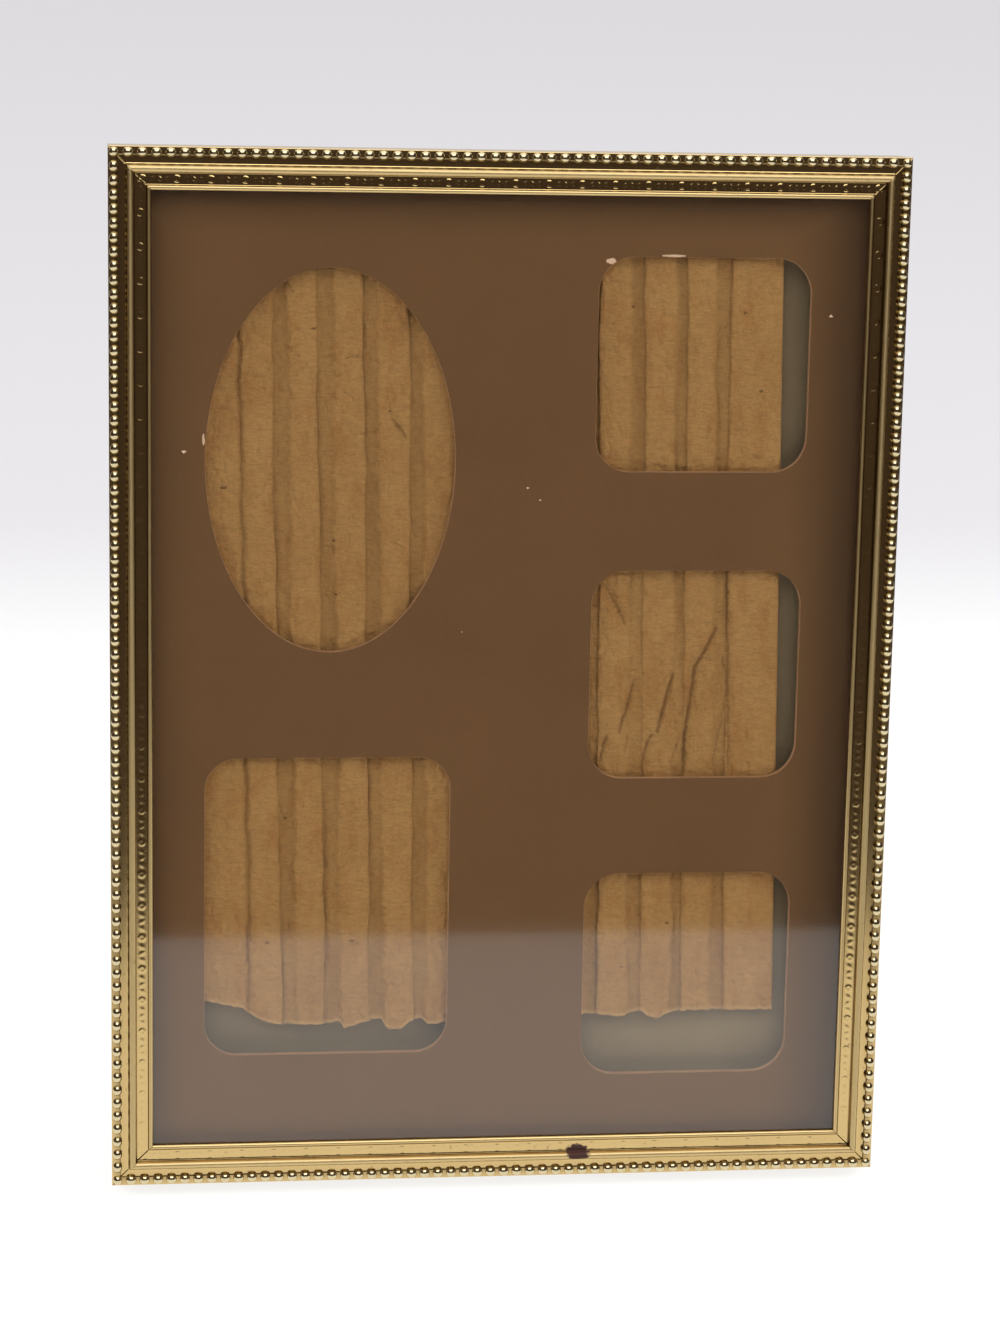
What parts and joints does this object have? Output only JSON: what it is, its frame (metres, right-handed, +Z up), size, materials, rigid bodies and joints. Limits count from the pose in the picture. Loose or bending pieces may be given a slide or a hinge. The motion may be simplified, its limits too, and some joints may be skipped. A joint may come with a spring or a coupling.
{
  "type": "collage photo frame",
  "caption": "Standing collage photo frame: beaded brass rails, a brown mat with oval and rounded windows under glass, and an easel back with hinged strut, turn buttons and ring.",
  "frame": {"origin": "middle of the standing frame's box, on the table under it", "axes": "+X to the right of a viewer in front, +Y from the glass to the strut, +Z up"},
  "size_m": [0.1568, 0.0682, 0.2048],
  "materials": {
    "rail_brass": "pressed, lacquered and darkened with age",
    "clear_glass": "polished clear pane",
    "brown_mat": "matt brown paper face",
    "kraft_paper": "raw kraft paper",
    "grey_card": "raw grey board",
    "easel_board": "dark grained paper over board",
    "plated_steel": "dull plated strip and wire",
    "bracket_brass": "raw strip",
    "rivet_brass": "bright"
  },
  "bodies": {
    "frame": {"rail_bottom": "rail_brass", "rail_left": "rail_brass", "rail_top": "rail_brass", "rail_right": "rail_brass", "glass_pane": "clear_glass", "mat_board": "brown_mat", "filler_flutes": "kraft_paper", "filler_liner": "kraft_paper", "backing_card": "grey_card", "easel_back": "easel_board", "hinge_fixed_leaf": "plated_steel", "hinge_pin": "plated_steel", "hanger_strap": "plated_steel", "corner_bracket_bottom_left": "bracket_brass", "corner_bracket_bottom_right": "bracket_brass", "corner_bracket_top_left": "bracket_brass", "corner_bracket_top_right": "bracket_brass", "turn_button_rivets": "rivet_brass", "hinge_back_rivets": "rivet_brass", "hanger_strap_rivet": "rivet_brass"},
    "strut": {"easel_strut": "easel_board", "hinge_moving_leaf": "plated_steel", "hinge_strut_rivets": "rivet_brass"},
    "ring": {"hanger_ring": "plated_steel"},
    "button_upper_left": {"turn_button_upper_left": "plated_steel"},
    "button_upper_right": {"turn_button_upper_right": "plated_steel"},
    "button_lower_left": {"turn_button_lower_left": "plated_steel"},
    "button_lower_right": {"turn_button_lower_right": "plated_steel"}
  },
  "joints": [
    {"name": "strut_hinge", "type": "hinge", "parent": "frame", "child": "strut", "pos_m": [0, 0.01441, 0.15356], "axis": [1, 0, 0], "range_deg": [-20, 0]},
    {"name": "ring_hinge", "type": "hinge", "parent": "frame", "child": "ring", "pos_m": [0, 0.02072, 0.1832], "axis": [1, 0, 0], "range_deg": [-12, 165]},
    {"name": "button_upper_left_turn", "type": "hinge", "parent": "frame", "child": "button_upper_left", "pos_m": [-0.069, 0.01218, 0.15192], "axis": [0, 0.9744, -0.225], "range_deg": [-90, 90]},
    {"name": "button_upper_right_turn", "type": "hinge", "parent": "frame", "child": "button_upper_right", "pos_m": [0.069, 0.01218, 0.15192], "axis": [0, 0.9744, -0.225], "range_deg": [-90, 90]},
    {"name": "button_lower_left_turn", "type": "hinge", "parent": "frame", "child": "button_lower_left", "pos_m": [-0.069, -0.01121, 0.05058], "axis": [0, 0.9744, -0.225], "range_deg": [-90, 90]},
    {"name": "button_lower_right_turn", "type": "hinge", "parent": "frame", "child": "button_lower_right", "pos_m": [0.069, -0.01121, 0.05058], "axis": [0, 0.9744, -0.225], "range_deg": [-90, 90]}
  ]
}
